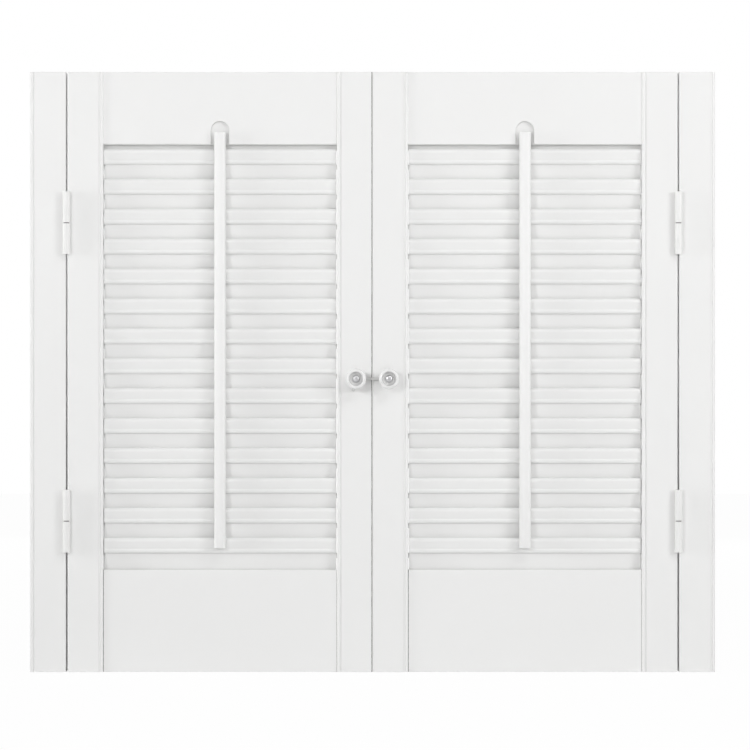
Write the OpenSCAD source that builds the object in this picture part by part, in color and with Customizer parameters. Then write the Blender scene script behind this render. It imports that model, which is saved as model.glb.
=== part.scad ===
// Pair of louvred interior shutters: two hinged leaves of movable louvres
// between two hanging strips, with tilt rods, lift-off hinges, knobs and a hook.
// Millimetres. X runs to the right, Y away from the viewer, Z up.

/* [Leaves and strips] */
// Height of the leaves and of the hanging strips
shutter_h = 508; // [440:1:640]
// Width of one leaf
panel_w = 258; // [210:0.5:340]
// Thickness of stiles and strips
board_t = 19; // [18:0.5:24]
// Width of a hanging strip
strip_w = 30.5; // [24:0.5:45]
// Width of a stile
stile_w = 30; // [26:0.5:40]
// Height of a top rail
top_rail_h = 61.4; // [52:0.2:90]
// Height of a bottom rail
bottom_rail_h = 86.4; // [56:0.2:110]
// How far the rails' faces lie behind the stiles' faces
rail_setback = 1.6; // [0.6:0.1:2]
// Drop of the light stop along the back of a top rail
stop_h = 4; // [3:0.1:4.5]
// Thickness of the light stop
stop_t = 8; // [4:0.5:9]
// Gap between a hanging strip and its leaf
hinge_gap = 1.5; // [1.2:0.1:2.5]
// Height of the rebate for the lowest tail along the back of a bottom rail
rebate_h = 5; // [4.8:0.1:8]
// Thickness of the lip in front of that rebate
lip_t = 7.4; // [5:0.1:7.6]
// Gap between the two leaves
seam_gap = 0.3; // [0.3:0.1:3]
// Relief at the back of the meeting edges, for the swing
meeting_bevel = 1; // [0.6:0.1:2]
// Rounding of the plain arrises
edge_r = 1; // [0.4:0.1:1.5]
// Radius of the bead on the moulded edges
bead_r = 1.4; // [1.2:0.1:2.6]
// Width of the quirk beside a bead
quirk_w = 0.8; // [0.6:0.1:2]
// Depth of the quirk
quirk_d = 0.6; // [0.4:0.1:1.1]
// Radius of the dowels in the corner joints
dowel_r = 4; // [3:0.5:5]
// Length of a dowel, half of it in each board
dowel_len = 44; // [30:1:50]

/* [Louvres] */
// Width of a louvre from nose to tail
louvre_w = 31.75; // [29:0.25:33]
// Thickness of the louvre's front part
nose_t = 6; // [5:0.1:7]
// Thickness of the louvre's rebated back part
tail_t = 4.5; // [4.3:0.1:4.9]
// Radius of the bead along the rebate
roll_r = 2.5; // [1.8:0.1:2.6]
// Distance of that bead in front of the pivot
roll_s = 5; // [2.5:0.1:6]
// How far that bead stands proud of the front part's face
roll_out = 0.8; // [0.4:0.1:1.5]
// Slope of the louvres as stored, front edges up and all but closed
rest_angle = 77; // [72:1:78]
// Gap between the top louvre's nose and the top rail
top_gap = 3.3; // [2:0.1:8]
// How far the bottom louvre's tail reaches below the bottom rail's top edge
tail_lap = 3.7; // [2:0.1:4.5]
// Gap between a louvre's end and the stile
end_gap = 0.8; // [0.5:0.1:2]
// Radius of the round tenons that the louvres turn on
tenon_r = 2; // [1.5:0.1:2.1]
// Length of a tenon inside the stile
tenon_len = 8; // [5:0.5:12]

/* [Tilt rods] */
// Width of a tilt rod
rod_w = 9.5; // [8:0.1:14]
// Depth of a tilt rod, back to front
rod_d = 8; // [6.5:0.1:11]
// Rounding of the rod's front edges
rod_round = 3.4; // [1:0.1:3.8]
// Length of the rod above its top staple
rod_above = 11.3; // [6:0.1:16]
// Length of the rod below its bottom staple
rod_below = 14.8; // [5:0.1:18]
// Distance of the link axis beyond the louvre's nose
link_out = 2.5; // [2.3:0.1:3.5]
// Gap between the rod's back and the link axis
rod_stand = 2.2; // [2:0.1:3]
// Radius of the staple wire
wire_r = 0.5; // [0.4:0.05:0.6]
// Gap between two linked staple wires
link_clear = 0.3; // [0.2:0.05:0.5]
// Half the spacing of the legs of a louvre's staple
staple_half = 2.4; // [2.1:0.1:3]
// Depth of the staple legs in the rod
staple_depth = 4; // [2:0.5:5]
// Width of the arched recess over the rod
recess_w = 15.5; // [13:0.5:22]
// Height of the recess above the rail's lower edge
recess_h = 19.9; // [14:0.1:30]
// Depth of the recess behind the rail's face
recess_d = 5; // [3:0.5:10]

/* [Hinges] */
// Height of a hinge
hinge_h = 53; // [40:0.5:70]
// Distance of each hinge from the near end of the leaf
hinge_inset = 101.4; // [60:0.2:140]
// Radius of the knuckles
knuckle_r = 3.2; // [2.8:0.1:4]
// Gap between a knuckle and the boards' faces
knuckle_gap = 0.3; // [0.2:0.1:1]
// Radius of the hinge pins
pin_r = 1.5; // [1.2:0.1:1.8]
// Thickness of a leaf plate
leaf_t = 1.1; // [0.8:0.1:1.2]
// Depth of the plate behind the boards' faces
leaf_depth = 15.5; // [12:0.5:17]
// Depth of the plate's mortise in the board's edge
mortise_d = 0.6; // [0.5:0.05:0.9]
// Thickness of the washer between two knuckles
washer_t = 0.9; // [0.4:0.1:1]
// Width of a washer's ring
washer_ring = 0.8; // [0.5:0.1:0.9]
// Radius of the hinge screws
screw_r = 1.5; // [1.2:0.1:1.8]
// Radius of the hinge screws' heads
screw_head_r = 2.9; // [2.5:0.1:3.5]
// Length of the hinge screws
screw_len = 14; // [10:0.5:20]
// Distance of the screws from the hinge's middle
screw_offset = 16; // [10:0.5:22]

/* [Knobs and hook] */
// Height of the knobs above the bottom edge
knob_z = 248.2; // [180:0.2:320]
// Distance of a knob from the meeting edge
knob_inset = 13.8; // [12.5:0.1:15]
// Radius of a knob's head
knob_r = 8.7; // [7.5:0.1:10]
// Reach of a knob in front of the leaf
knob_reach = 16; // [14:0.1:20]
// Radius of a knob's neck
neck_r = 3.5; // [3:0.1:4]
// Radius of a knob's foot
foot_r = 5.2; // [4.5:0.1:6]
// Thickness of a knob's foot
foot_t = 1.2; // [0.8:0.1:2]
// Radius of the dish in a knob's face
dish_r = 5.9; // [4.8:0.1:6.2]
// Depth of the dish
dish_d = 2.2; // [1.2:0.1:2.6]
// Radius of a knob screw's shank
knob_screw_r = 1.7; // [1.4:0.1:2]
// Radius of a knob screw's head
knob_screw_head_r = 3.2; // [2.8:0.1:3.6]
// Height of a knob screw's head
knob_screw_head_h = 1.8; // [1.2:0.1:2.4]
// Length of a knob screw inside the stile
knob_screw_depth = 13; // [8:0.5:16]
// Thickness of the hook's plate
hook_t = 2; // [1.2:0.1:2.6]
// Height of the hook's arm
hook_bar = 2.5; // [2:0.1:4]
// Width of metal round the hook's eye and crook
hook_rim = 2.4; // [1.6:0.1:3]
// Gap between the crook and the neck it drops over
crook_clear = 0.4; // [0.3:0.1:0.8]
// Reach of the finger tail below the hook's eye
tail_reach = 11; // [9.5:0.1:12]

/* [Hidden] */
$fn = 64;
// Radial clearances: running fits, pressed and glued fits
running = 0.08;
seated = 0.02;
// Small overlap that keeps a cut clear of a face
cut = 1;

// Widths, all for the left-hand side
panel_x1 = -seam_gap / 2;
panel_x0 = panel_x1 - panel_w;
hinge_x = panel_x0 - hinge_gap / 2;
strip_x1 = panel_x0 - hinge_gap;
strip_x0 = strip_x1 - strip_w;
opening_x0 = panel_x0 + stile_w;
opening_x1 = panel_x1 - stile_w;
opening_w = opening_x1 - opening_x0;
opening_mid = (opening_x0 + opening_x1) / 2;
knob_x = panel_x1 - knob_inset;

// Heights
opening_z0 = bottom_rail_h;
opening_z1 = shutter_h - top_rail_h;

// Louvre section: s runs to the nose, n to the rebated face, pivot at the origin
louvre_count = 14;
pivot_y = board_t / 2;
nose_s = louvre_w / 2 - nose_t / 2;
nose_n = (nose_t - tail_t) / 2;
tail_s = -louvre_w / 2 + tail_t / 2;
roll_n = nose_t - tail_t / 2 + roll_out - roll_r;
link_s = louvre_w / 2 + link_out;

// Places of a section point at rest, from the pivot
function rest_y(s, n) = -s * cos(rest_angle) - n * sin(rest_angle);
function rest_z(s, n) = s * sin(rest_angle) - n * cos(rest_angle);

nose_top = rest_z(nose_s, nose_n) + nose_t / 2;
tail_drop = -rest_z(tail_s, 0) + tail_t / 2;
pivot_z_top = opening_z1 - top_gap - nose_top;
pivot_z_low = opening_z0 - tail_lap + tail_drop;
pitch = (pivot_z_top - pivot_z_low) / (louvre_count - 1);
function pivot_z(i) = pivot_z_top - i * pitch;

// Tilt rod
link_y = pivot_y + rest_y(link_s, nose_n);
link_dz = rest_z(link_s, nose_n);
rod_back = link_y - rod_stand;
link_gap = 2 * wire_r + link_clear;
staple_bend = 2 * wire_r;

// Hinges
knuckle_y = -knuckle_gap - knuckle_r;
knuckle_h = (hinge_h - washer_t) / 2;
hinge_z = [hinge_inset, shutter_h - hinge_inset - hinge_h];
// How far a pin ends below the top of its upper knuckle
pin_short = 2;

// Knobs: heights are measured outwards from the leaf's face
rim_r = knob_r - dish_r;
rim_h = knob_reach - rim_r;
throat_h = rim_h - rim_r;
dish_ball_r = (dish_r * dish_r + dish_d * dish_d) / (2 * dish_d);
seat_sink = 0.2;
screw_seat_h = knob_reach - dish_d - seat_sink;
slot_w = 0.9;
slot_depth = 0.8;
slot_turn = 45;

// Hook: its crook's legs reach crook_drop below the axis, its tail hangs at tail_angle
hook_clear = 0.3;
hook_back = foot_t + hook_clear;
eye_r = neck_r + running;
crook_r = neck_r + crook_clear;
hook_span = 2 * abs(knob_x);
crook_drop = 2.4;
tail_angle = 257;
tail_w = 3;

// Depth of the faces behind the origin, which is the middle of the box
back_reach = max(board_t, pivot_y + rest_y(tail_s, 0) + tail_t / 2);
face_y = (knob_reach - back_reach) / 2;

sides = ["left", "right"];
function two(number) = str(number < 10 ? "0" : "", number);
function louvre_name(side, i) = str(side, "_louvre_", two(i + 1));
paired = [
    "hanging_strip", "strip_hinge_leaves", "panel_hinge_leaves", "panel_hinge_screws",
    "outer_stile", "inner_stile", "top_rail", "bottom_rail", "panel_dowels",
    "tilt_rod", "rod_staples", "knob", "knob_screw"
];
NODES = concat(
    [for (side = sides) for (piece = paired) str(side, "_", piece)],
    [for (side = sides) for (i = [0 : louvre_count - 1]) louvre_name(side, i)],
    ["hinge_pins", "hinge_washers", "strip_hinge_screws", "hook"]
);
node = "all";

// Section of a board w wide: front at y = 0, plain arris at x = 0, bead at x = w
module beaded_section(w) {
    zone = 2 * bead_r + quirk_w;
    translate([edge_r, edge_r]) circle(r = edge_r);
    translate([edge_r, board_t - edge_r]) circle(r = edge_r);
    translate([w - edge_r, board_t - edge_r]) circle(r = edge_r);
    translate([0, edge_r]) square([edge_r, board_t - 2 * edge_r]);
    translate([edge_r, 0]) square([w - zone - edge_r, board_t]);
    translate([w - zone, quirk_d]) square([zone - bead_r, board_t - quirk_d]);
    translate([w - bead_r, bead_r]) square([bead_r - edge_r, board_t - bead_r]);
    translate([w - edge_r, bead_r]) square([edge_r, board_t - bead_r - edge_r]);
    translate([w - bead_r, bead_r]) circle(r = bead_r);
}

// Upright board with its bead towards +X
module beaded_board(x0, w) {
    translate([x0, 0, 0]) linear_extrude(shutter_h) beaded_section(w);
}

// The same board turned round, with its bead towards -X
module beaded_board_reversed(x0, w) {
    translate([x0 + w, 0, 0]) mirror([1, 0, 0]) linear_extrude(shutter_h) beaded_section(w);
}

// Round bar along X from x0 to x1
module bar_x(x0, x1, y, z, r) {
    translate([x0, y, z]) rotate([0, 90, 0]) cylinder(h = x1 - x0, r = r);
}

// Mortises for the hinge plates, cut from x0 to x1
module plate_mortises(x0, x1) {
    for (z = hinge_z)
        translate([x0, -cut, z - seated])
            cube([x1 - x0, leaf_depth + cut + seated, hinge_h + 2 * seated]);
}

// Pilot holes for hinge screws, running from x0 to x1
module screw_pilots(x0, x1) {
    for (z = hinge_z, dz = [-1, 1])
        bar_x(x0, x1, leaf_depth / 2, z + hinge_h / 2 + dz * screw_offset, screw_r + seated);
}

module hanging_strip() {
    color("whitesmoke") difference() {
        beaded_board_reversed(strip_x0, strip_w);
        plate_mortises(strip_x1 - mortise_d, strip_x1 + cut);
        screw_pilots(strip_x1 - mortise_d - screw_len, strip_x1);
    }
}

// Heights of the dowels: two in each rail end, as parts of the rail's height
dowel_spots = [0.27, 0.73];
dowel_z = concat(
    [for (part = dowel_spots) part * bottom_rail_h],
    [for (part = dowel_spots) opening_z1 + part * top_rail_h]
);

module dowels(extra) {
    for (x = [opening_x0, opening_x1], z = dowel_z)
        bar_x(x - dowel_len / 2 - extra, x + dowel_len / 2 + extra, board_t / 2, z, dowel_r + extra);
}

module panel_dowels() {
    color("burlywood") dowels(0);
}

// Bores for the louvres' tenons, from an opening edge into the stile
module tenon_bores(x0, x1) {
    for (i = [0 : louvre_count - 1])
        bar_x(x0, x1, pivot_y, pivot_z(i), tenon_r + running);
}

module outer_stile() {
    color("white") difference() {
        beaded_board(panel_x0, stile_w);
        plate_mortises(panel_x0 - cut, panel_x0 + mortise_d);
        screw_pilots(panel_x0, panel_x0 + mortise_d + screw_len);
        tenon_bores(opening_x0 - tenon_len - end_gap, opening_x0 + cut);
        dowels(seated);
    }
}

module inner_stile() {
    color("white") difference() {
        beaded_board_reversed(opening_x1, stile_w);
        meeting_relief();
        tenon_bores(opening_x1 - cut, opening_x1 + tenon_len + end_gap);
        dowels(seated);
        knob_axis() cylinder(h = 2 * knob_screw_depth, r = knob_screw_r + seated, center = true);
    }
}

// Wedge cut from the back of the meeting edge
module meeting_relief() {
    slope = meeting_bevel / (board_t - edge_r);
    translate([panel_x1, 0, -cut]) linear_extrude(shutter_h + 2 * cut) polygon([
        [0, edge_r], [cut, edge_r], [cut, board_t + cut],
        [-slope * (board_t + cut - edge_r), board_t + cut]
    ]);
}

// Rail from z0 to z1, with rounded arrises along the opening at z_open
module rail_board(z0, z1, z_open) {
    t = board_t - 2 * rail_setback;
    turn = z_open == z0 ? 0 : 1;
    translate([opening_x0, rail_setback, turn == 0 ? z0 : z1])
        mirror([0, 0, turn]) rotate([90, 0, 90]) linear_extrude(opening_w) {
            translate([edge_r, edge_r]) circle(r = edge_r);
            translate([t - edge_r, edge_r]) circle(r = edge_r);
            translate([edge_r, 0]) square([t - 2 * edge_r, z1 - z0]);
            translate([0, edge_r]) square([t, z1 - z0 - edge_r]);
        }
}

module top_rail() {
    arch_r = recess_w / 2;
    color("white") difference() {
        union() {
            rail_board(opening_z1, shutter_h, opening_z1);
            translate([opening_x0, board_t - rail_setback - stop_t, opening_z1 - stop_h])
                cube([opening_w, stop_t, stop_h + edge_r]);
        }
        translate([opening_mid, rail_setback + recess_d, opening_z1]) rotate([90, 0, 0])
            linear_extrude(recess_d + cut) {
                translate([0, recess_h - arch_r]) circle(r = arch_r);
                translate([-arch_r, -cut]) square([recess_w, recess_h - arch_r + cut]);
            }
        dowels(seated);
    }
}

module bottom_rail() {
    color("white") difference() {
        rail_board(0, bottom_rail_h, bottom_rail_h);
        translate([opening_x0 - cut, rail_setback + lip_t, bottom_rail_h - rebate_h])
            cube([opening_w + 2 * cut, board_t, rebate_h + cut]);
        dowels(seated);
    }
}

// Louvre section: full-round nose, bead along the rebate, thinner back with a round tail
module louvre_section() {
    low = -tail_t / 2;
    translate([nose_s, nose_n]) circle(r = nose_t / 2);
    translate([roll_s, low]) square([nose_s - roll_s, nose_t]);
    translate([roll_s, roll_n]) circle(r = roll_r);
    translate([tail_s, low]) square([roll_s - tail_s, tail_t]);
    translate([tail_s, 0]) circle(r = tail_t / 2);
}

// Bent wire staple: crown along X through the origin, legs towards -Y
module staple(half, leg) {
    straight = half - staple_bend;
    translate([-straight, 0, 0]) rotate([0, 90, 0]) cylinder(h = 2 * straight, r = wire_r);
    for (turn = [0, 1]) mirror([turn, 0, 0]) {
        translate([straight, -staple_bend, 0]) rotate_extrude(angle = 90)
            translate([staple_bend, 0]) circle(r = wire_r);
        translate([half, -staple_bend, 0]) rotate([90, 0, 0]) cylinder(h = leg - staple_bend, r = wire_r);
    }
}

// Louvre with its end tenons and its staple, sloping as stored
module louvre(i) {
    body_len = opening_w - 2 * end_gap;
    color("white") translate([opening_mid, pivot_y, pivot_z(i)]) rotate([180 - rest_angle, 0, 0]) {
        rotate([90, 0, 90]) linear_extrude(body_len, center = true) louvre_section();
        bar_x(-opening_w / 2 - tenon_len, opening_w / 2 + tenon_len, 0, 0, tenon_r);
        translate([0, link_s, nose_n]) staple(staple_half, link_out + nose_t / 2);
    }
}

// Staples of the rod, linked behind the crowns of the louvres' staples
module rod_staples() {
    color("silver") for (i = [0 : louvre_count - 1])
        translate([opening_mid, link_y + link_gap, pivot_z(i) + link_dz]) rotate([0, 90, 0])
            staple(link_gap, link_gap + rod_stand + staple_depth);
}

module tilt_rod() {
    z0 = pivot_z(louvre_count - 1) + link_dz - rod_below;
    z1 = pivot_z(0) + link_dz + rod_above;
    color("white") difference() {
        translate([opening_mid, rod_back, z0]) linear_extrude(z1 - z0) {
            translate([-rod_w / 2, rod_round - rod_d]) square([rod_w, rod_d - rod_round]);
            translate([rod_round - rod_w / 2, -rod_d]) square([rod_w - 2 * rod_round, rod_d]);
            for (x = [-1, 1])
                translate([x * (rod_w / 2 - rod_round), rod_round - rod_d]) circle(r = rod_round);
        }
        for (i = [0 : louvre_count - 1], dz = [-link_gap, link_gap])
            translate([opening_mid, rod_back + cut, pivot_z(i) + link_dz + dz]) rotate([90, 0, 0])
                cylinder(h = staple_depth + cut + seated, r = wire_r + seated);
    }
}

// Plain hinge plate from x0 to x1
module hinge_plate(x0, x1, z) {
    translate([x0, 0, z]) cube([x1 - x0, leaf_depth, hinge_h]);
}

// Knuckle with the tongue that joins it to the plate from x0 to x1
module hinge_knuckle(x0, x1, z) {
    translate([x0, knuckle_y, z]) cube([x1 - x0, cut - knuckle_y, knuckle_h]);
    translate([hinge_x, knuckle_y, z]) cylinder(h = knuckle_h, r = knuckle_r);
}

// Countersunk screw whose head lies flush at the origin, pointing to +X
module hinge_screw(extra) {
    rotate([0, 90, 0]) {
        cylinder(h = leaf_t, r1 = screw_head_r + extra, r2 = screw_r + extra);
        cylinder(h = leaf_t + screw_len - mortise_d, r = screw_r + extra);
    }
}

// Places of the screws in the plate whose open face is at x
module at_screws(x, turn) {
    for (z = hinge_z, dz = [-1, 1])
        translate([x, leaf_depth / 2, z + hinge_h / 2 + dz * screw_offset])
            mirror([turn, 0, 0]) children();
}

strip_plate_x = strip_x1 - mortise_d;
panel_plate_x = panel_x0 + mortise_d;

module strip_hinge_leaves() {
    color("gainsboro") difference() {
        for (z = hinge_z) {
            hinge_plate(strip_plate_x, strip_plate_x + leaf_t, z);
            hinge_knuckle(strip_plate_x, strip_plate_x + leaf_t, z);
        }
        for (z = hinge_z)
            translate([hinge_x, knuckle_y, z - cut]) cylinder(h = knuckle_h + 2 * cut, r = pin_r + seated);
        at_screws(strip_plate_x + leaf_t, 1) hinge_screw(seated);
    }
}

module panel_hinge_leaves() {
    upper = knuckle_h + washer_t;
    color("gainsboro") difference() {
        for (z = hinge_z) {
            hinge_plate(panel_plate_x - leaf_t, panel_plate_x, z);
            hinge_knuckle(panel_plate_x - leaf_t, panel_plate_x, z + upper);
        }
        for (z = hinge_z)
            translate([hinge_x, knuckle_y, z + upper - cut])
                cylinder(h = knuckle_h + 2 * cut, r = pin_r + running);
        at_screws(panel_plate_x - leaf_t, 0) hinge_screw(seated);
    }
}

module strip_hinge_screws() {
    color("silver") at_screws(strip_plate_x + leaf_t, 1) hinge_screw(0);
}

module panel_hinge_screws() {
    color("silver") at_screws(panel_plate_x - leaf_t, 0) hinge_screw(0);
}

module hinge_pins() {
    color("silver") for (z = hinge_z)
        translate([hinge_x, knuckle_y, z]) cylinder(h = hinge_h - pin_short, r = pin_r);
}

module hinge_washers() {
    color("silver") for (z = hinge_z)
        translate([hinge_x, knuckle_y, z + knuckle_h]) difference() {
            cylinder(h = washer_t, r = pin_r + washer_ring);
            translate([0, 0, -cut]) cylinder(h = washer_t + 2 * cut, r = pin_r + seated);
        }
}

// Local frame of a knob: origin on the leaf's face, Z towards the viewer
module knob_axis() {
    translate([knob_x, 0, knob_z]) rotate([90, 0, 0]) children();
}

// Turned knob with a foot, a neck, a round-rimmed head and a dished face
module knob() {
    color("white") knob_axis() rotate_extrude() difference() {
        union() {
            square([foot_r, foot_t]);
            square([neck_r, rim_h]);
            polygon([[0, throat_h - neck_r], [neck_r, throat_h - neck_r], [knob_r - rim_r, throat_h],
                [knob_r - rim_r, knob_reach], [0, knob_reach]]);
            translate([knob_r - rim_r, rim_h]) circle(r = rim_r);
        }
        translate([0, knob_reach - dish_d + dish_ball_r]) circle(r = dish_ball_r);
        translate([0, screw_seat_h]) square([knob_screw_head_r + seated, knob_reach]);
        translate([0, -cut]) square([knob_screw_r + seated, knob_reach]);
    }
}

module knob_screw() {
    color("silver") knob_axis() difference() {
        union() {
            translate([0, 0, screw_seat_h]) cylinder(h = knob_screw_head_h, r = knob_screw_head_r);
            translate([0, 0, seated - knob_screw_depth])
                cylinder(h = screw_seat_h + knob_screw_depth, r = knob_screw_r);
        }
        translate([0, 0, screw_seat_h + knob_screw_head_h]) rotate([0, 0, slot_turn])
            cube([2 * knob_screw_head_r + cut, slot_w, 2 * slot_depth], center = true);
    }
}

// Stamped hook: eye on the left knob's neck, crook over the right one, finger tail
module hook() {
    crook_out = crook_r + hook_rim;
    color("white") knob_axis() translate([0, 0, hook_back]) linear_extrude(hook_t) {
        difference() {
            union() {
                circle(r = eye_r + hook_rim);
                translate([0, -hook_bar / 2]) square([hook_span - crook_r - hook_rim / 2, hook_bar]);
                rotate([0, 0, tail_angle]) translate([0, -tail_w / 2]) square([tail_reach - tail_w / 2, tail_w]);
                rotate([0, 0, tail_angle]) translate([tail_reach - tail_w / 2, 0]) circle(d = tail_w);
            }
            circle(r = eye_r);
        }
        translate([hook_span, 0]) difference() {
            union() {
                circle(r = crook_out);
                translate([crook_r, -crook_drop]) square([hook_rim, crook_drop]);
                translate([-crook_out, -crook_drop]) square([hook_rim, crook_drop]);
            }
            circle(r = crook_r);
            translate([-crook_r, -2 * crook_out]) square([2 * crook_r, 2 * crook_out]);
            translate([-2 * crook_out, -2 * crook_out - crook_drop]) square([4 * crook_out, 2 * crook_out]);
        }
    }
}

// Puts a left-hand piece in place: side 0 is the left, side 1 its mirror image
module on_side(side) {
    translate([0, face_y, 0]) {
        if (side == 0) children();
        else mirror([1, 0, 0]) children();
    }
}

function shows(name) = node == "all" || node == name;

for (k = [0, 1]) {
    side = sides[k];
    if (shows(str(side, "_hanging_strip"))) on_side(k) hanging_strip();
    if (shows(str(side, "_strip_hinge_leaves"))) on_side(k) strip_hinge_leaves();
    if (shows(str(side, "_panel_hinge_leaves"))) on_side(k) panel_hinge_leaves();
    if (shows(str(side, "_panel_hinge_screws"))) on_side(k) panel_hinge_screws();
    if (shows(str(side, "_outer_stile"))) on_side(k) outer_stile();
    if (shows(str(side, "_inner_stile"))) on_side(k) inner_stile();
    if (shows(str(side, "_top_rail"))) on_side(k) top_rail();
    if (shows(str(side, "_bottom_rail"))) on_side(k) bottom_rail();
    if (shows(str(side, "_panel_dowels"))) on_side(k) panel_dowels();
    if (shows(str(side, "_tilt_rod"))) on_side(k) tilt_rod();
    if (shows(str(side, "_rod_staples"))) on_side(k) rod_staples();
    if (shows(str(side, "_knob"))) on_side(k) knob();
    if (shows(str(side, "_knob_screw"))) on_side(k) knob_screw();
    for (i = [0 : louvre_count - 1])
        if (shows(louvre_name(side, i))) on_side(k) louvre(i);
    if (shows("hinge_pins")) on_side(k) hinge_pins();
    if (shows("hinge_washers")) on_side(k) hinge_washers();
    if (shows("strip_hinge_screws")) on_side(k) strip_hinge_screws();
}
if (shows("hook")) on_side(0) hook();
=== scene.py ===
"""Looks of a pair of louvred shutters: finishes, knobs, screws, tilt rods, top rails, light and camera.

Everything is in metres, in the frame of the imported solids: X to the right, Y away from the viewer, Z up.
"""
from math import radians

import bpy
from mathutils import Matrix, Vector


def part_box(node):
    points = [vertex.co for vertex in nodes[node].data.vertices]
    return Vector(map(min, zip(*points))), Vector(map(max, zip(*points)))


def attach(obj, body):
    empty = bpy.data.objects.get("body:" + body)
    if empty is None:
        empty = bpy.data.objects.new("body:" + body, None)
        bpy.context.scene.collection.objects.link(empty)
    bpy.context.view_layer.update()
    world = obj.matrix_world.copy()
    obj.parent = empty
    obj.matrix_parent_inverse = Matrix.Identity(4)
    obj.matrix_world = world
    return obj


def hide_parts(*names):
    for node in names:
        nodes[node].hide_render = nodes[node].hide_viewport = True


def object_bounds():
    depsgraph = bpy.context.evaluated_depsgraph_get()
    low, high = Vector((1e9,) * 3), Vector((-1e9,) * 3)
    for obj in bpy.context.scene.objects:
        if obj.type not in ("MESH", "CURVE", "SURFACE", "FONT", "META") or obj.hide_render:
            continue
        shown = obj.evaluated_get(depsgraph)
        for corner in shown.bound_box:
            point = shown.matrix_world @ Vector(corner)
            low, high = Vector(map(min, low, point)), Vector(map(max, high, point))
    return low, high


MM = 0.001
SIDES = {"left": -1, "right": 1}

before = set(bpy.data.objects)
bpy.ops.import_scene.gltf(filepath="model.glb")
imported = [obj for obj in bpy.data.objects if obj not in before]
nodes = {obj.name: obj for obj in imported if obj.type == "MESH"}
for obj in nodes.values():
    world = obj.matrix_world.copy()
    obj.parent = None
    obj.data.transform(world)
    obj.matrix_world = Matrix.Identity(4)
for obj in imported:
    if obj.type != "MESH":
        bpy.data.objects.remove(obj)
cad_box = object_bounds()

# Middle of the right knob, and the face of the stiles that both knobs stand on
knob_low, knob_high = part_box("right_knob")
KNOB = (knob_low + knob_high) / 2
FACE_Y = knob_high.y


# Shading nodes

def start_material(name):
    material = bpy.data.materials.new(name)
    material.use_nodes = True
    return material, material.node_tree, material.node_tree.nodes["Principled BSDF"]


def coordinates(tree, scale=(1, 1, 1)):
    """Object coordinates, stretched."""
    source = tree.nodes.new("ShaderNodeTexCoord")
    mapping = tree.nodes.new("ShaderNodeMapping")
    mapping.vector_type = "POINT"
    mapping.inputs["Scale"].default_value = scale
    tree.links.new(source.outputs["Object"], mapping.inputs["Vector"])
    return mapping.outputs["Vector"]


def axes(tree):
    """Object coordinates, with a socket for each axis."""
    split = tree.nodes.new("ShaderNodeSeparateXYZ")
    tree.links.new(coordinates(tree), split.inputs["Vector"])
    return split.outputs


def stretched(across, lengthwise, along):
    """Scale of a pattern that is drawn out along one axis: 0 for X, 2 for Z."""
    scale = [across] * 3
    scale[along] = lengthwise
    return scale


def noise(tree, vector, scale, detail=3.0, roughness=0.5):
    node = tree.nodes.new("ShaderNodeTexNoise")
    node.inputs["Scale"].default_value = scale
    node.inputs["Detail"].default_value = detail
    node.inputs["Roughness"].default_value = roughness
    tree.links.new(vector, node.inputs["Vector"])
    return node.outputs["Fac"]


def maths(tree, operation, first, second=None, clamp=False):
    """One sum on numbers or sockets."""
    node = tree.nodes.new("ShaderNodeMath")
    node.operation = operation
    node.use_clamp = clamp
    for socket, value in zip(node.inputs, (first, second)):
        if isinstance(value, (int, float)):
            socket.default_value = value
        elif value is not None:
            tree.links.new(value, socket)
    return node.outputs["Value"]


def between(tree, value, low, high):
    """Maps 0..1 to low..high."""
    node = tree.nodes.new("ShaderNodeMapRange")
    node.inputs["To Min"].default_value = low
    node.inputs["To Max"].default_value = high
    tree.links.new(value, node.inputs["Value"])
    return node.outputs["Result"]


def mixed(tree, share, first, second):
    """Colour that goes from first to second as share goes from 0 to 1."""
    node = tree.nodes.new("ShaderNodeMix")
    node.data_type = "RGBA"
    tree.links.new(share, node.inputs["Factor"])
    for socket, value in (("A", first), ("B", second)):
        target = [i for i in node.inputs if i.name == socket and i.type == "RGBA"][0]
        if isinstance(value, tuple):
            target.default_value = (*value, 1)
        else:
            tree.links.new(value, target)
    return [o for o in node.outputs if o.type == "RGBA"][0]


def darker(colour, share):
    return tuple(part * share for part in colour)


def bumped(tree, height, distance, strength, normal=None):
    node = tree.nodes.new("ShaderNodeBump")
    node.inputs["Distance"].default_value = distance
    node.inputs["Strength"].default_value = strength
    tree.links.new(height, node.inputs["Height"])
    if normal is not None:
        tree.links.new(normal, node.inputs["Normal"])
    return node.outputs["Normal"]


def soft_edges(tree, radius):
    """Normal that rounds sharp edges, and how near the surface lies to an edge."""
    contrast = 4.0
    bevel = tree.nodes.new("ShaderNodeBevel")
    bevel.samples = 6
    bevel.inputs["Radius"].default_value = radius
    geometry = tree.nodes.new("ShaderNodeNewGeometry")
    dot = tree.nodes.new("ShaderNodeVectorMath")
    dot.operation = "DOT_PRODUCT"
    tree.links.new(bevel.outputs["Normal"], dot.inputs[0])
    tree.links.new(geometry.outputs["Normal"], dot.inputs[1])
    bent = maths(tree, "SUBTRACT", 1.0, dot.outputs["Value"])
    return bevel.outputs["Normal"], maths(tree, "MULTIPLY", bent, contrast, clamp=True)


# Finishes

PAINT = (0.868, 0.868, 0.862)
PAINT_THIN = (0.83, 0.825, 0.81)
# Painted light: a lighter copy of the same paint, for the tilt rods
ROD_PAINT_LIT = (0.895, 0.895, 0.889)
# Colour of the dark lines: cracks, and painted shade along the joints and the seam
CRACK_AND_SHADE = (0.16, 0.155, 0.15)
KNOB_WHITE = (0.875, 0.875, 0.87)
KNOB_SHADE = (0.85, 0.85, 0.845)
# Painted shade for the knob's well
WELL_PAINTED_SHADE = (0.70, 0.70, 0.695)


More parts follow.
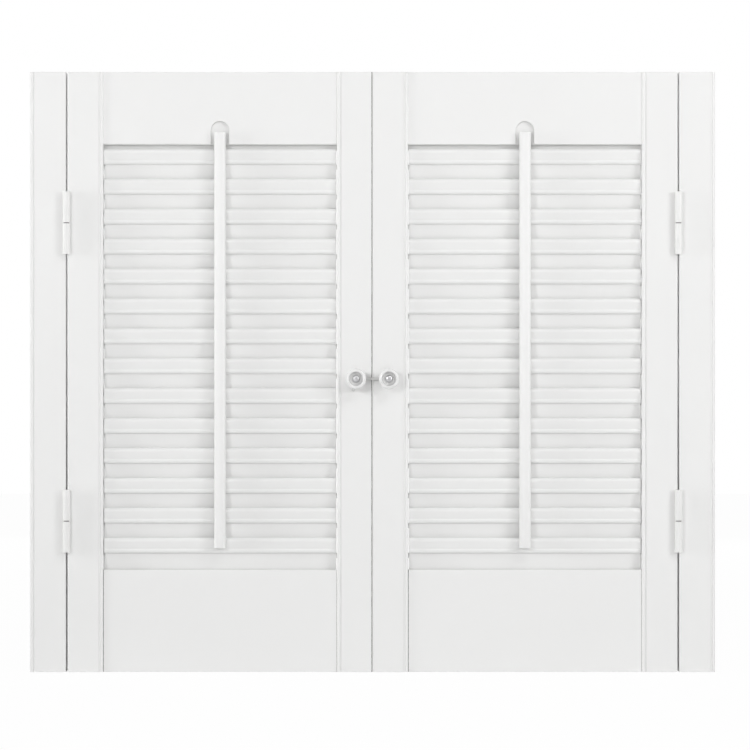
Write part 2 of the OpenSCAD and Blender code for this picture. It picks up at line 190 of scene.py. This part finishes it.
def crack_and_shade_lines(tree, lines):
    """Mask of fine, uneven upright dark lines, both cracks in the paint and painted shade: place along X,
    half width, and how far back each runs.
    """
    place_of = axes(tree)
    ragged = between(tree, noise(tree, coordinates(tree), 260.0, 2.0), 0.6, 1.4)
    mask = 0.0
    for place, half_width, back in lines:
        away = maths(tree, "ABSOLUTE", maths(tree, "SUBTRACT", place_of["X"], place))
        line = maths(tree, "LESS_THAN", away, maths(tree, "MULTIPLY", ragged, half_width))
        front = maths(tree, "LESS_THAN", place_of["Y"], back)
        mask = maths(tree, "MAXIMUM", mask, maths(tree, "MULTIPLY", line, front))
    return mask


def painted_timber(name, along, cracks_and_shade=(), paint=PAINT):
    """Satin paint brushed along the grain, which shows through as fine lines; along is 0 for X, 2 for Z."""
    material, tree, shader = start_material(name)
    grain = noise(tree, coordinates(tree, stretched(620.0, 9.0, along)), 1.0, 4.0, 0.6)
    brush = noise(tree, coordinates(tree, stretched(190.0, 2.5, along)), 1.0, 2.0, 0.5)
    peel = noise(tree, coordinates(tree), 850.0, 1.0)
    cloud = noise(tree, coordinates(tree), 9.0, 2.0)
    rounded, edge = soft_edges(tree, 0.5 * MM)
    tone = mixed(tree, between(tree, cloud, -0.2, 0.8), paint, darker(paint, 0.985))
    worn = maths(tree, "MULTIPLY", edge, between(tree, grain, 0.1, 0.5))
    tone = mixed(tree, worn, tone, PAINT_THIN)
    # Painted shade and cracks: dark upright lines laid over the paint
    if cracks_and_shade:
        tone = mixed(tree, crack_and_shade_lines(tree, cracks_and_shade), tone, CRACK_AND_SHADE)
    tree.links.new(tone, shader.inputs["Base Color"])
    tree.links.new(between(tree, brush, 0.36, 0.52), shader.inputs["Roughness"])
    normal = bumped(tree, grain, 0.05 * MM, 0.35, rounded)
    normal = bumped(tree, brush, 0.06 * MM, 0.3, normal)
    normal = bumped(tree, peel, 0.02 * MM, 0.3, normal)
    tree.links.new(normal, shader.inputs["Normal"])
    return material


def knob_paint():
    """Gloss paint on the turned knobs, with faint rings from the lathe and painted shade in the well."""
    ring_rate = 11000.0
    well_shade_radius = 6.15 * MM
    well_shade_y = FACE_Y - 11.0 * MM
    material, tree, shader = start_material("knob_gloss_paint")
    place_of = axes(tree)
    side = maths(tree, "SUBTRACT", maths(tree, "ABSOLUTE", place_of["X"]), KNOB.x)
    rise = maths(tree, "SUBTRACT", place_of["Z"], KNOB.z)
    squares = maths(tree, "ADD", maths(tree, "MULTIPLY", side, side), maths(tree, "MULTIPLY", rise, rise))
    reach = maths(tree, "SQRT", squares)
    rings = maths(tree, "SINE", maths(tree, "MULTIPLY", reach, ring_rate))
    peel = noise(tree, coordinates(tree), 600.0, 1.0)
    cloud = noise(tree, coordinates(tree), 130.0, 2.0)
    colour = mixed(tree, cloud, KNOB_WHITE, KNOB_SHADE)
    # Painted shade: the front of the well, inside the rim, is darkened
    inside = maths(tree, "LESS_THAN", reach, well_shade_radius)
    front = maths(tree, "LESS_THAN", place_of["Y"], well_shade_y)
    in_well = maths(tree, "MULTIPLY", inside, front)
    well_shade = maths(tree, "MULTIPLY", in_well, between(tree, cloud, 0.45, 1.05))
    tree.links.new(mixed(tree, well_shade, colour, WELL_PAINTED_SHADE), shader.inputs["Base Color"])
    tree.links.new(between(tree, cloud, 0.16, 0.26), shader.inputs["Roughness"])
    normal = bumped(tree, rings, 0.006 * MM, 0.4)
    normal = bumped(tree, peel, 0.02 * MM, 0.25, normal)
    tree.links.new(normal, shader.inputs["Normal"])
    return material


def enamel(name, tone, gloss):
    """Stoved white enamel on sheet metal: a faint orange peel, thinner along the edges."""
    material, tree, shader = start_material(name)
    peel = noise(tree, coordinates(tree), 900.0, 2.0)
    cloud = noise(tree, coordinates(tree), 60.0, 2.0)
    rounded, edge = soft_edges(tree, 0.25 * MM)
    colour = mixed(tree, cloud, tone, darker(tone, 0.97))
    colour = mixed(tree, maths(tree, "MULTIPLY", edge, 0.5), colour, darker(tone, 0.88))
    tree.links.new(colour, shader.inputs["Base Color"])
    tree.links.new(between(tree, cloud, gloss - 0.05, gloss + 0.05), shader.inputs["Roughness"])
    tree.links.new(bumped(tree, peel, 0.015 * MM, 0.3, rounded), shader.inputs["Normal"])
    return material


def plated_steel():
    """Bright plated steel with fine scratches."""
    material, tree, shader = start_material("plated_steel")
    scratch = noise(tree, coordinates(tree, (900, 2600, 900)), 1.0, 3.0, 0.7)
    stain = noise(tree, coordinates(tree), 420.0, 3.0)
    colour = mixed(tree, stain, (0.64, 0.64, 0.65), (0.46, 0.46, 0.47))
    tree.links.new(colour, shader.inputs["Base Color"])
    shader.inputs["Metallic"].default_value = 1.0
    tree.links.new(between(tree, scratch, 0.26, 0.44), shader.inputs["Roughness"])
    tree.links.new(bumped(tree, scratch, 0.01 * MM, 0.3), shader.inputs["Normal"])
    return material


def dark_steel():
    """Dark oiled steel of the hinge washers: dull, with browner patches where the oil has dried."""
    material, tree, shader = start_material("dark_oiled_steel")
    film = noise(tree, coordinates(tree), 700.0, 3.0)
    turned_marks = noise(tree, coordinates(tree, (300, 300, 5000)), 1.0, 2.0)
    colour = mixed(tree, film, (0.26, 0.26, 0.27), (0.19, 0.18, 0.17))
    tree.links.new(colour, shader.inputs["Base Color"])
    shader.inputs["Metallic"].default_value = 0.85
    tree.links.new(between(tree, film, 0.38, 0.55), shader.inputs["Roughness"])
    tree.links.new(bumped(tree, turned_marks, 0.02 * MM, 0.3), shader.inputs["Normal"])
    return material


def bare_beech():
    """Unpainted dowel wood, with grain along X and short dark flecks."""
    material, tree, shader = start_material("bare_beech")
    grain = noise(tree, coordinates(tree, (20, 700, 700)), 1.0, 4.0, 0.6)
    fleck = noise(tree, coordinates(tree, (160, 2200, 2200)), 1.0, 1.0)
    colour = mixed(tree, grain, (0.62, 0.43, 0.25), (0.48, 0.30, 0.15))
    colour = mixed(tree, maths(tree, "GREATER_THAN", fleck, 0.68), colour, (0.36, 0.21, 0.10))
    tree.links.new(colour, shader.inputs["Base Color"])
    tree.links.new(between(tree, grain, 0.5, 0.7), shader.inputs["Roughness"])
    tree.links.new(bumped(tree, grain, 0.05 * MM, 0.4), shader.inputs["Normal"])
    return material


# Dark lines are painted where the bottom rails meet the stiles: cracks in the paint, and painted shadow of
# the stiles, which makes the line widest at each rail's left end
WIDE_CRACK_AND_SHADOW = 0.5 * MM
FINE_CRACK = 0.22 * MM
joint_cracks_and_shadow = []
for side in SIDES:
    low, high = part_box(f"{side}_bottom_rail")
    joint_cracks_and_shadow += [(low.x, WIDE_CRACK_AND_SHADOW, high.y), (high.x, FINE_CRACK, high.y)]

# Painted shade lies along the left leaf's front arris, where the two leaves meet: a dark line in the crease
SEAM_X = -0.45 * MM
SEAM_HALF = 0.4 * MM
SEAM_DEPTH = 1.0 * MM

upright_paint = painted_timber("satin_paint_upright", 2)
level_paint = painted_timber("satin_paint_level", 0)
# The tilt rods get the lighter copy of the paint, as painted light
lit_rod_paint = painted_timber("satin_paint_rod_lit", 2, paint=ROD_PAINT_LIT)
# Bottom rails: dark lines at the joints, partly cracks and partly painted shadow of the stiles
rail_paint = painted_timber("satin_paint_cracked_shaded_joints", 0, joint_cracks_and_shadow)
# The left meeting stile carries the seam's painted shade
seam_shaded_paint = painted_timber("satin_paint_meeting_stile_shaded", 2, [(SEAM_X, SEAM_HALF, FACE_Y + SEAM_DEPTH)])
knob_gloss = knob_paint()
hinge_enamel = enamel("hinge_enamel", (0.86, 0.86, 0.85), 0.32)
# The hook's enamel is darker than the hinges': painted shade for the shadow the hook lies in, between the
# knobs
hook_enamel = enamel("hook_enamel", (0.64, 0.64, 0.63), 0.3)
wire_paint = enamel("staple_wire_paint", (0.80, 0.80, 0.79), 0.4)
steel = plated_steel()
washer_steel = dark_steel()
beech = bare_beech()

FINISH = {
    "hanging_strip": upright_paint, "outer_stile": upright_paint, "inner_stile": seam_shaded_paint,
    "tilt_rod": lit_rod_paint, "top_rail": level_paint, "bottom_rail": rail_paint, "louvre": level_paint,
    "panel_dowels": beech, "knob": knob_gloss, "rod_staples": wire_paint,
    "strip_hinge_leaves": hinge_enamel, "panel_hinge_leaves": hinge_enamel, "hinge_pins": steel,
    "hinge_washers": washer_steel, "hook": hook_enamel,
    "knob_screw": steel, "panel_hinge_screws": steel, "strip_hinge_screws": steel,
}


def give_finish(piece, material):
    if not piece.material_slots:
        piece.data.materials.append(None)
    for place in piece.material_slots:
        place.material = material


for node_name, node in nodes.items():
    words = node_name.removeprefix("left_").removeprefix("right_")
    give_finish(node, FINISH["louvre" if words.startswith("louvre") else words])


# Modelling

def block(low, high):
    """Box between two corners, with its place in its mesh."""
    bpy.ops.object.select_all(action="DESELECT")
    bpy.ops.mesh.primitive_cube_add(size=1, location=(low + high) / 2)
    piece = bpy.context.object
    piece.scale = high - low
    bpy.ops.object.transform_apply(location=True, rotation=True, scale=True)
    return piece


def turned(name, profile, sides=40):
    """Upright solid of (height, radius) steps in millimetres, drawn out face by face."""
    bpy.ops.object.select_all(action="DESELECT")
    height, radius = profile[0]
    bpy.ops.mesh.primitive_circle_add(
        vertices=sides, radius=radius * MM, fill_type="NGON", location=(0, 0, height * MM))
    piece = bpy.context.object
    piece.name = name
    bpy.ops.object.transform_apply(location=True, rotation=True, scale=True)
    bpy.ops.object.mode_set(mode="EDIT")
    bpy.ops.mesh.select_all(action="SELECT")
    for next_height, next_radius in profile[1:]:
        rise = (next_height - height) * MM
        bpy.ops.mesh.extrude_region_move(TRANSFORM_OT_translate={"value": (0, 0, rise)})
        grow = next_radius / radius
        bpy.ops.transform.resize(value=(grow, grow, 1), center_override=(0, 0, next_height * MM))
        height, radius = next_height, next_radius
    bpy.ops.mesh.select_all(action="SELECT")
    bpy.ops.mesh.normals_make_consistent(inside=False)
    bpy.ops.object.mode_set(mode="OBJECT")
    return piece


def combine(piece, other, operation):
    """Adds the other solid to the piece, or cuts it away, and removes it."""
    bpy.ops.object.select_all(action="DESELECT")
    piece.select_set(True)
    bpy.context.view_layer.objects.active = piece
    change = piece.modifiers.new("change", "BOOLEAN")
    change.operation = operation
    change.object = other
    bpy.ops.object.modifier_apply(modifier=change.name)
    bpy.data.objects.remove(other)


def cut_cross(piece, top, arm, width, depth, turn):
    """Cuts a cross recess into a screw's crown: two tapered blades, one at a time."""
    taper = 0.55
    for quarter in (0, 90):
        bpy.ops.object.select_all(action="DESELECT")
        spin = (0, 0, radians(turn + quarter))
        bpy.ops.mesh.primitive_cube_add(size=1, location=(0, 0, top), rotation=spin)
        blade = bpy.context.object
        blade.scale = (2 * arm, width, 2 * depth)
        bpy.ops.object.transform_apply(location=True, rotation=True, scale=True)
        bpy.ops.object.mode_set(mode="EDIT")
        bpy.ops.mesh.select_all(action="DESELECT")
        bpy.ops.object.mode_set(mode="OBJECT")
        for vertex in blade.data.vertices:
            vertex.select = vertex.co.z < top
        bpy.ops.object.mode_set(mode="EDIT")
        bpy.ops.transform.resize(value=(taper, taper, 1), center_override=(0, 0, top - depth))
        bpy.ops.object.mode_set(mode="OBJECT")
        combine(piece, blade, "DIFFERENCE")


def ease_edges(piece, chosen, width, steps):
    """Rounds each edge whose two ends answer to chosen."""
    bpy.ops.object.mode_set(mode="EDIT")
    bpy.ops.mesh.select_mode(type="EDGE")
    bpy.ops.mesh.select_all(action="DESELECT")
    bpy.ops.object.mode_set(mode="OBJECT")
    points = piece.data.vertices
    for edge in piece.data.edges:
        edge.select = chosen(*(points[i].co for i in edge.vertices))
    bpy.ops.object.mode_set(mode="EDIT")
    bpy.ops.mesh.bevel(offset=width, segments=steps, affect="EDGES")
    bpy.ops.mesh.select_mode(type="VERT")
    bpy.ops.object.mode_set(mode="OBJECT")


def copy_set(model, place=(0, 0, 0), turn=(0, 0, 0)):
    """Copy of a model with its own mesh, spun about Z, then turned about Y and X, set in place for good."""
    bpy.ops.object.select_all(action="DESELECT")
    piece = model.copy()
    piece.data = model.data.copy()
    bpy.context.scene.collection.objects.link(piece)
    piece.location = place
    piece.rotation_mode = "ZYX"
    piece.rotation_euler = turn
    piece.select_set(True)
    bpy.context.view_layer.objects.active = piece
    bpy.ops.object.transform_apply(location=True, rotation=True, scale=True)
    return piece


def join(pieces, name):
    """One smooth piece of several, with its sharp edges kept."""
    bpy.ops.object.select_all(action="DESELECT")
    for piece in pieces:
        piece.select_set(True)
    bpy.context.view_layer.objects.active = pieces[0]
    bpy.ops.object.join()
    joined = bpy.context.object
    joined.name = name
    bpy.ops.object.shade_smooth_by_angle(angle=radians(35))
    return joined


def fit_piece(piece, material, body, node_name):
    give_finish(piece, material)
    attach(piece, body)
    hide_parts(node_name)


def fit_screws(piece, body, node_name):
    fit_piece(piece, steel, body, node_name)


# Knobs: foot, neck, cone, full rim and a well with a flat floor; heights from the stile, in millimetres
TO_VIEWER = (radians(90), 0, 0)
WELL = 11.4
KNOB_TURNING = [
    (0, 5.2), (1.0, 5.2), (1.2, 5.0), (1.2, 3.5), (6.9, 3.5), (9.9, 5.55), (10.4, 5.9), (10.55, 6.8),
    (11.2, 7.8), (12.1, 8.46), (13.2, 8.7), (14.2, 8.52), (15.0, 8.08), (15.6, 7.55), (15.92, 7.05),
    (16.0, 6.75), (15.9, 6.42), (15.6, 6.14), (15.0, 5.88), (14.0, 5.62), (13.0, 5.42), (12.2, 5.2),
    (11.7, 4.92), (WELL + 0.05, 4.5), (WELL, 3.9)]
knob_model = turned("knob_model", KNOB_TURNING, 64)
for side, sign in SIDES.items():
    knob = copy_set(knob_model, (sign * KNOB.x, FACE_Y, KNOB.z), TO_VIEWER)
    knob = join([knob], f"{side}_turned_knob")
    fit_piece(knob, knob_gloss, f"{side}_panel", f"{side}_knob")
bpy.data.objects.remove(knob_model)

# Knob screws: round heads on the floor of the well, seen from the front
TIP = -12.9
HEAD_TOP = WELL + 1.8
KNOB_SCREW = [
    (TIP, 0.4), (TIP + 3, 1.68), (WELL, 1.7), (WELL, 3.2), (WELL + 0.7, 3.2), (WELL + 1.15, 2.95),
    (WELL + 1.5, 2.4), (WELL + 1.7, 1.7), (HEAD_TOP, 0.9)]
CROSS_TURN = {"left": 58, "right": 40}
for side, sign in SIDES.items():
    model = turned("knob_screw_model", KNOB_SCREW)
    cut_cross(model, HEAD_TOP * MM, 2.0 * MM, 0.85 * MM, 1.1 * MM, CROSS_TURN[side])
    screw = copy_set(model, (sign * KNOB.x, FACE_Y, KNOB.z), TO_VIEWER)
    bpy.data.objects.remove(model)
    fit_screws(join([screw], f"{side}_knob_cross_screw"), f"{side}_panel", f"{side}_knob_screw")

# Hinge screws: countersunk flush in the plates, two to a plate, seen when a leaf stands open
PLATE = 1.1
END = -PLATE - 13.4
HINGE_SCREW = [(END, 0.3), (END + 3, 1.45), (-PLATE, 1.5), (0, 2.85)]
SCREW_HEAD = 2.9 * MM
SCREW_PITCH = 32 * MM
HINGE_GAP = 0.5 * MM
CROSS_STEP = 9
hinge_screw_model = turned("hinge_screw_model", HINGE_SCREW)
cut_cross(hinge_screw_model, 0, 1.7 * MM, 0.75 * MM, 0.9 * MM, 20)
strip_screws = []
for side, sign in SIDES.items():
    low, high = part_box(f"{side}_panel_hinge_screws")
    row_y = (low.y + high.y) / 2
    lowest = low.z + SCREW_HEAD
    highest = high.z - SCREW_HEAD
    mouth = low.x if sign < 0 else high.x
    strip_turn = (0, radians(-90 * sign), 0)
    leaf_screws = []
    for k, z in enumerate((lowest, lowest + SCREW_PITCH, highest - SCREW_PITCH, highest)):
        leaf_turn = (0, radians(90 * sign), radians(CROSS_STEP * k))
        leaf_screws.append(copy_set(hinge_screw_model, (mouth, row_y, z), leaf_turn))
        strip_screws.append(copy_set(hinge_screw_model, (mouth + sign * HINGE_GAP, row_y, z), strip_turn))
    leaf_set = join(leaf_screws, f"{side}_leaf_hinge_cross_screws")
    fit_screws(leaf_set, f"{side}_panel", f"{side}_panel_hinge_screws")
fit_screws(join(strip_screws, "strip_hinge_cross_screws"), "frame", "strip_hinge_screws")
bpy.data.objects.remove(hinge_screw_model)

# Tilt rods: square at the back, rounded in front, with eased ends, and shorter below than the solids
ROD_SHORT = 3.9 * MM
ROD_ROUND = 3.4 * MM
ROD_EASE = 0.5 * MM
TINY = 0.01 * MM


def planed_rod(name, low, high):
    rod = block(low, high)
    ease_edges(rod, lambda a, b: max(a.y, b.y) < low.y + TINY and abs(a.z - b.z) > TINY, ROD_ROUND, 10)
    ease_edges(rod, lambda a, b: max(a.z, b.z) < low.z + TINY or min(a.z, b.z) > high.z - TINY, ROD_EASE, 3)
    return join([rod], name)


for side in SIDES:
    low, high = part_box(f"{side}_tilt_rod")
    rod = planed_rod(f"{side}_planed_rod", low + Vector((0, 0, ROD_SHORT)), high)
    fit_piece(rod, lit_rod_paint, f"{side}_rod", f"{side}_tilt_rod")

# Top rails: the rod's recess is shallow, and deep only in a slot behind the rod for its top staple
RECESS_FLOOR = 2.8 * MM
RECESS_BACK = 5.0 * MM
RECESS_WIDTH = 15.5 * MM
RECESS_HEIGHT = 19.9 * MM
SLOT_WIDTH = 3.0 * MM
SLOT_ROOM = 1.0 * MM
BITE = 0.4 * MM


def recessed_rail(side):
    """Copy of a top rail, with a bed laid in its recess; the bed bites into the rail all round."""
    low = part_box(f"{side}_top_rail")[0]
    rod_low, rod_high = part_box(f"{side}_tilt_rod")
    middle = (rod_low.x + rod_high.x) / 2
    rail = copy_set(nodes[f"{side}_top_rail"])
    bpy.ops.object.mode_set(mode="EDIT")
    bpy.ops.mesh.select_all(action="SELECT")
    bpy.ops.mesh.remove_doubles(threshold=0.001 * MM)
    bpy.ops.object.mode_set(mode="OBJECT")
    edge_z = min(point.co.z for point in rail.data.vertices if point.co.y < low.y + RECESS_FLOOR)
    half = RECESS_WIDTH / 2 + BITE
    bed = block(Vector((middle - half, low.y + RECESS_FLOOR, edge_z)),
                Vector((middle + half, low.y + RECESS_BACK + BITE, edge_z + RECESS_HEIGHT + BITE)))
    slot_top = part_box(f"{side}_rod_staples")[1].z + SLOT_ROOM
    slot = block(Vector((middle - SLOT_WIDTH / 2, low.y, edge_z - BITE)),
                 Vector((middle + SLOT_WIDTH / 2, low.y + RECESS_BACK, slot_top)))
    combine(bed, slot, "DIFFERENCE")
    combine(rail, bed, "UNION")
    bpy.ops.object.shade_flat()
    rail.name = f"{side}_recessed_rail"
    return rail


for side in SIDES:
    fit_piece(recessed_rail(side), level_paint, f"{side}_panel", f"{side}_top_rail")


# Floor, light and camera

FLOOR_GREY = (0.85, 0.85, 0.85, 1)
FLOOR_SHOWN_WHITE = 0.975
WHITE = (1, 1, 1, 1)
SKY = 0.345
AIM = Vector((0, 0, 0.27))


def seen_or_lit(tree, seen, lit, share=1.0):
    """Shader that shows itself to the camera and in reflections as seen, and lights the object as lit."""
    path = tree.nodes.new("ShaderNodeLightPath")
    looked = maths(tree, "MAXIMUM", path.outputs["Is Camera Ray"], path.outputs["Is Glossy Ray"])
    looked = maths(tree, "MAXIMUM", looked, path.outputs["Is Transmission Ray"])
    both = tree.nodes.new("ShaderNodeMixShader")
    tree.links.new(maths(tree, "MULTIPLY", looked, share), both.inputs["Fac"])
    tree.links.new(lit.outputs[0], both.inputs[1])
    tree.links.new(seen.outputs[0], both.inputs[2])
    return both.outputs["Shader"]


bpy.ops.object.select_all(action="DESELECT")
bpy.ops.mesh.primitive_plane_add(size=9, location=(0, 0, cad_box[0].z - 0.2 * MM))
floor = bpy.context.object
floor.name = "studio_floor"
floor_paper, floor_tree, floor_shader = start_material("studio_paper")
floor_tree.nodes.remove(floor_shader)
matte = floor_tree.nodes.new("ShaderNodeBsdfDiffuse")
matte.inputs["Color"].default_value = FLOOR_GREY
glow = floor_tree.nodes.new("ShaderNodeEmission")
floor_tree.links.new(seen_or_lit(floor_tree, glow, matte, FLOOR_SHOWN_WHITE),
                     floor_tree.nodes["Material Output"].inputs["Surface"])
give_finish(floor, floor_paper)

world = bpy.data.worlds.new("studio")
bpy.context.scene.world = world
world.use_nodes = True
sky = world.node_tree.nodes["Background"]
sky.inputs["Color"].default_value = WHITE
sky.inputs["Strength"].default_value = SKY
backdrop = world.node_tree.nodes.new("ShaderNodeBackground")
backdrop.inputs["Color"].default_value = WHITE
world.node_tree.links.new(seen_or_lit(world.node_tree, backdrop, sky),
                          world.node_tree.nodes["World Output"].inputs["Surface"])


def soft_box(name, place, width, height, watts, aim=AIM, spread=180):
    lamp = bpy.data.lights.new(name, "AREA")
    lamp.shape = "RECTANGLE"
    lamp.size = width
    lamp.size_y = height
    lamp.energy = watts
    lamp.spread = radians(spread)
    box = bpy.data.objects.new(name, lamp)
    bpy.context.scene.collection.objects.link(box)
    box.location = place
    box.rotation_euler = (aim - Vector(place)).to_track_quat("-Z", "Y").to_euler()


soft_box("key_upper_left", (-1.0, -2.15, 0.75), 0.16, 0.16, 9.5)
soft_box("key_right", (1.72, -1.45, 0.72), 0.6, 0.3, 12.4)
soft_box("graze_left", (-2.4, -0.5, 0.5), 0.4, 0.9, 17)
soft_box("top_bank", (0.95, -1.6, 1.9), 1.6, 0.6, 11.3)
soft_box("back_fill", (0.2, 2.4, 0.7), 2.2, 1.0, 14)
soft_box("floor_wash", (0, -1.6, 1.0), 2.4, 1.2, 2.7, aim=Vector((0, -1.6, 0)), spread=60)

# The camera looks straight on, a few pixels to the right of the part's middle and below it
PHOTO_WIDTH = 750
PIXEL = 0.8467 * MM
RIGHT_PIXELS = 2.5
DOWN_PIXELS = 3.0
DISTANCE = 3.0
SENSOR = 36
camera = bpy.data.cameras.new("camera")
camera.sensor_width = SENSOR
camera.lens = SENSOR * DISTANCE / (PHOTO_WIDTH * PIXEL)
viewer = bpy.data.objects.new("camera", camera)
bpy.context.scene.collection.objects.link(viewer)
middle_z = (cad_box[0].z + cad_box[1].z) / 2
viewer.location = (RIGHT_PIXELS * PIXEL, FACE_Y - DISTANCE, middle_z - DOWN_PIXELS * PIXEL)
viewer.rotation_euler = (radians(90), 0, 0)
bpy.context.scene.camera = viewer
bpy.context.scene.view_settings.view_transform = "Standard"
